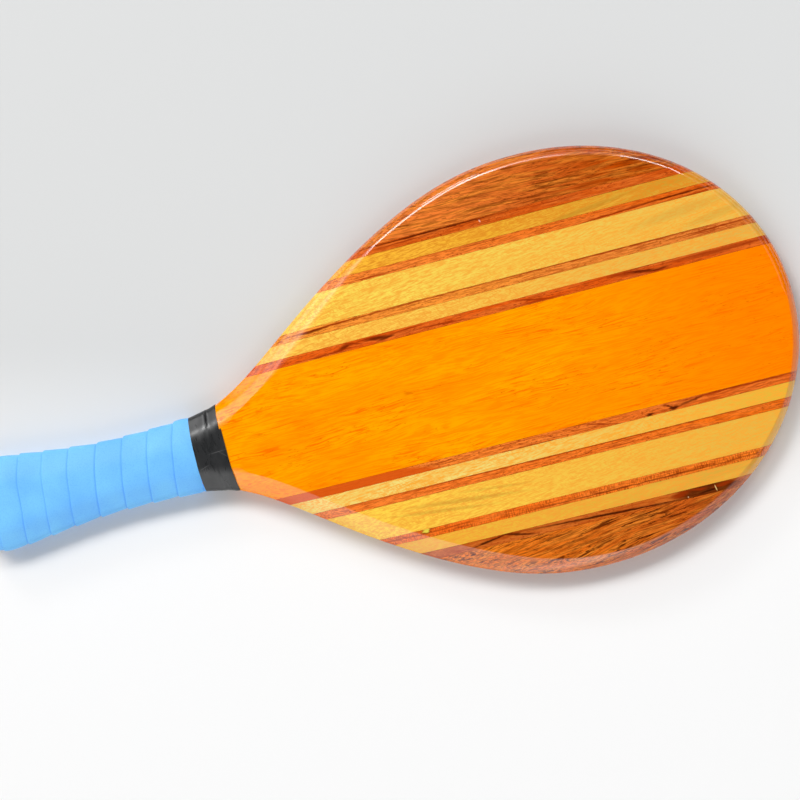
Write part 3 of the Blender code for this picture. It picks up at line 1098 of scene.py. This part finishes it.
@dataclass
class FinishingWinding:
    """The black tape round the front end of the grip: two layers, the outer one cut off on the front.

    Its front edge wanders: edge_places are millimetres from the neck after edge_turns.
    """

    section: HandleSection
    width: float = 15.6 * MM
    back_slip: float = 0.4 * MM
    thickness: float = 0.15 * MM
    layer_gap: float = 0.04 * MM
    glue: float = 0.06 * MM
    start_turn: float = 0.20
    turns: float = 1.9
    dive: float = 0.07
    points_per_turn: int = 150
    points_across: int = 64
    edge_turns: tuple[float, ...] = (0.0, 0.27, 0.285, 0.60, 0.80, 1.0, 2.0)
    edge_places: tuple[float, ...] = (0.2, 1.3, -0.9, -1.0, -1.3, -0.7, -0.9)
    grip_end: float = -6.5 * MM
    grip_height: float = 0.36 * MM
    grip_slope: Pair = (-1.2 * MM, 2.5 * MM)
    ridge_height: float = 0.12 * MM
    ridge_width: float = 0.7 * MM
    fold_height: float = 0.28 * MM
    fold_width: float = 0.3 * MM
    fold_crest: float = -0.5 * MM
    fold_valley: float = 0.2 * MM
    fold_turn: float = 0.08
    fold_reach: Pair = (0.03, 0.09)
    crumple_height: float = 0.03 * MM
    crumples: tuple[Pair, ...] = ((43.0, 700.0), (19.0, -400.0))

    def height(self, place: np.ndarray, turn: float) -> np.ndarray:
        """Height of what lies under the tape: bare wood, then the end of the grip with a ridge on it.

        Args:
            place: Places along the handle.
            turn: Turns round the handle, from its left edge over the front face.

        Returns:
            Heights above the wood.
        """
        from_end = place - self.grip_end
        over_grip = self.grip_height * smooth_step(-from_end, *self.grip_slope)
        ridge = self.ridge_height * np.exp(-((from_end / self.ridge_width) ** 2))
        from_fold = abs((turn - self.fold_turn + 0.5) % 1.0 - 0.5)
        folded = self.fold_height * (1 - smooth_step(from_fold, *self.fold_reach))
        crest = np.exp(-(((from_end - self.fold_crest) / self.fold_width) ** 2))
        valley = np.exp(-(((from_end - self.fold_valley) / self.fold_width) ** 2))
        return self.glue + over_grip + ridge + folded * (crest - valley)

    def build(self) -> None:
        """Makes and dresses the two layers of tape as one strip."""
        layer = self.thickness + self.layer_gap
        share = np.linspace(0.0, 1.0, self.points_across)
        rows = []
        for travel in np.arange(0.0, self.turns, 1 / self.points_per_turn):
            front = np.interp(travel, self.edge_turns, np.array(self.edge_places) * MM)
            place = front - (front + self.width + self.back_slip) * (1 - share)
            outer_layer = 1 - smooth_step(travel, 1 - self.dive, 1.0)
            turn = self.start_turn + travel
            waves = [np.sin(travel * around + place * along) for around, along in self.crumples]
            crumple = self.crumple_height * np.prod(waves, axis=0)
            base = self.height(place, turn) + layer * outer_layer + crumple
            inner = self.section.points(place, base, turn)
            outer = self.section.points(place[::-1], base[::-1] + self.thickness, turn)
            rows.append(np.concatenate((inner, outer)))
        piece = rolled_sheet("finishing_tape_wound", np.array(rows))
        material = VinylTape().material(self.section.origin)
        dress(piece, material, "finishing_tape", sharp=50.0)


def direction(azimuth: float, tilt: float) -> Vector:
    """Unit vector, by degrees from the tip towards the left and by degrees from straight up."""
    flat = sin(radians(tilt))
    return Vector((flat * cos(radians(azimuth)), flat * sin(radians(azimuth)), cos(radians(tilt))))


@dataclass(frozen=True)
class Glow:
    """A bright stretch of wall, strongest in one direction and fading out round it. Angles in degrees."""

    azimuth: float
    tilt: float
    reach: float
    core: float
    radiance: float

    def added(self, nodes: Nodes, way: Source, level: Source) -> Socket:
        """Adds the glow to the room's light.

        Args:
            nodes: Nodes of the world.
            way: Direction that is looked at.
            level: The room's light without the glow.

        Returns:
            The room's light with the glow.
        """
        towards = direction(self.azimuth, self.tilt)
        near = nodes.add("VectorMath", {0: way, 1: towards}, operation="DOT_PRODUCT").outputs["Value"]
        start, full = cos(radians(self.reach)), cos(radians(self.core))
        rise = {"Value": near, "From Min": start, "From Max": full, "To Max": self.radiance}
        light = nodes.add("MapRange", rise, interpolation_type="SMOOTHSTEP").outputs[0]
        return nodes.add("Math", {0: level, 1: light}, operation="ADD").outputs[0]


@dataclass(frozen=True)
class SoftBox:
    """A rectangular softbox that faces the paddle, placed by its direction in degrees.

    Width lies across the direction, and height along the tilt, both in metres.
    """

    name: str
    azimuth: float
    tilt: float
    width: float
    height: float
    radiance: float
    distance: float = 6.0
    aim: Triple = (0.05, 0.0, 0.0)

    def hang(self) -> None:
        """Hangs the softbox."""
        light = bpy.data.lights.new(self.name, "AREA")
        light.shape = "RECTANGLE"
        light.size, light.size_y = self.width, self.height
        light.energy = self.radiance * pi * self.width * self.height
        lamp = bpy.data.objects.new(self.name, light)
        way = direction(self.azimuth, self.tilt)
        lamp.location = way * self.distance + Vector(self.aim)
        lamp.rotation_euler = (-way).to_track_quat("-Z", "Y").to_euler()
        bpy.context.scene.collection.objects.link(lamp)


@dataclass
class Studio:
    """Pale floor, soft lamps and the camera.

    The floor's colour turns from white to grey up the picture, in painted shade. The rings are heights,
    as shares of straight up, between which the ceiling comes out.
    """

    origin: Vector
    floor_size: float = 12.0
    floor_white: str = "F4F4F4"
    floor_shade_grey: str = "D6D7D7"
    floor_shade_turn: Pair = (-48.0 * MM, 38.0 * MM)
    picture_up: Triple = (0.243, 0.970, 0.0)
    eye: Triple = (208.9 * MM, -8.0 * MM, 997.6 * MM)
    look: Triple = (-0.11726, 0.00968, -0.99305)
    right: Triple = (0.96288, -0.24370, -0.11607)
    lens: float = 90.0
    sensor: float = 36.0
    lamps: tuple[SoftBox, ...] = (
        SoftBox("key", 111.5, 41.0, 2.00, 1.60, 11.5),
        SoftBox("key_wing", 94.0, 42.0, 1.70, 1.60, 5.4),
        SoftBox("second_key", 60.0, 42.0, 1.20, 1.20, 14.0),
        SoftBox("low_strip", 106.0, 66.0, 1.20, 0.80, 15.0),
    )
    ceiling_radiance: float = 0.55
    ceiling_rings: tuple[Pair, ...] = ((0.94, 0.86), (0.60, 0.72))
    backdrop_white: float = 0.9
    glows: tuple[Glow, ...] = (
        Glow(140.0, 72.0, 15.0, 5.0, 1.9),
        Glow(126.0, 48.0, 17.0, 8.0, 2.3),
        Glow(76.0, 60.0, 20.0, 6.0, 1.2),
        Glow(-112.0, 57.0, 34.0, 16.0, 1.65),
        Glow(-84.0, 84.0, 36.0, 16.0, 1.5),
    )

    def build(self) -> None:
        """Sets up the whole studio."""
        self._floor()
        self._world()
        for lamp in self.lamps:
            lamp.hang()
        self._camera()
        bpy.context.scene.view_settings.view_transform = "Standard"

    def _floor(self) -> None:
        """Lays a matt paper floor, white below the picture's middle and, in painted shade, light grey above
        it.
        """
        deselect()
        bpy.ops.mesh.primitive_plane_add(size=self.floor_size)
        floor = bpy.context.object
        floor.name = "paper_floor"
        nodes = Nodes(bpy.data.materials.new("matt_white_paper"))
        coords = nodes.add("TexCoord", {}).outputs["Object"]
        height = nodes.add("VectorMath", {0: coords, 1: self.picture_up}, operation="DOT_PRODUCT")
        way_up = height.outputs["Value"]
        # Painted shade: the floor's colour darkens from white to grey up the picture
        colour = nodes.layered(linear(self.floor_white), self.floor_shade_grey, way_up, self.floor_shade_turn)
        shader = nodes.add("BsdfDiffuse", {"Color": colour})
        nodes.add("OutputMaterial", {"Surface": shader.outputs[0]})
        floor.data.materials.append(nodes.owner)

    def _world(self) -> None:
        """Surrounds the paddle with a room: a ring of light overhead and bright stretches of wall."""
        nodes = Nodes(bpy.data.worlds.new("pale_room"))
        bpy.context.scene.world = nodes.owner
        way = nodes.add("TexCoord", {}).outputs["Generated"]
        height = nodes.add("SeparateXYZ", {"Vector": way}).outputs["Z"]
        # The ring leaves out the place straight above, which the face mirrors to the camera
        level = self.ceiling_radiance
        for dark, lit in self.ceiling_rings:
            rise = {"Value": height, "From Min": dark, "From Max": lit, "To Max": level}
            level = nodes.add("MapRange", rise, interpolation_type="SMOOTHSTEP").outputs[0]
        for glow in self.glows:
            level = glow.added(nodes, way, level)
        # The camera itself sees a plain pale backdrop behind the floor, and the varnish mirrors the room
        seen = nodes.add("LightPath", {}).outputs["Is Camera Ray"]
        backdrop = {"Value": seen, "To Min": level, "To Max": self.backdrop_white}
        level = nodes.add("MapRange", backdrop).outputs[0]
        back = nodes.add("Background", {"Color": linear("FFFFFF"), "Strength": level})
        nodes.add("OutputWorld", {"Surface": back.outputs[0]})

    def _camera(self) -> None:
        """Places the camera above the face, a little towards the tip and turned to the picture's slant."""
        data = bpy.data.cameras.new("camera")
        data.lens = self.lens
        data.sensor_width = self.sensor
        data.sensor_fit = "HORIZONTAL"
        camera = bpy.data.objects.new("camera", data)
        back = -Vector(self.look).normalized()
        right = Vector(self.right).normalized()
        turn = Matrix((right, back.cross(right), back)).transposed().to_4x4()
        camera.matrix_world = Matrix.Translation(Vector(self.eye) + self.origin) @ turn
        bpy.context.scene.collection.objects.link(camera)
        bpy.context.scene.camera = camera


def neck_origin(shape: BoardShape) -> Vector:
    """Finds where the neck's middle lies in the frame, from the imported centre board."""
    low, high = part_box("centre_board")
    return Vector((low.x + shape.handle_length, (low.y + high.y) / 2, (low.z + high.z) / 2))


def main() -> None:
    """Builds the paddle's looks and the studio."""
    logging.basicConfig(level=logging.INFO, format="%(name)s %(message)s")
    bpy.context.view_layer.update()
    shape = BoardShape()
    origin = neck_origin(shape)
    section = HandleSection(origin, shape)
    Board(origin, shape).build()
    GripWinding(section).build()
    FinishingWinding(section).build()
    Studio(origin).build()


if __name__ == "__main__":
    main()
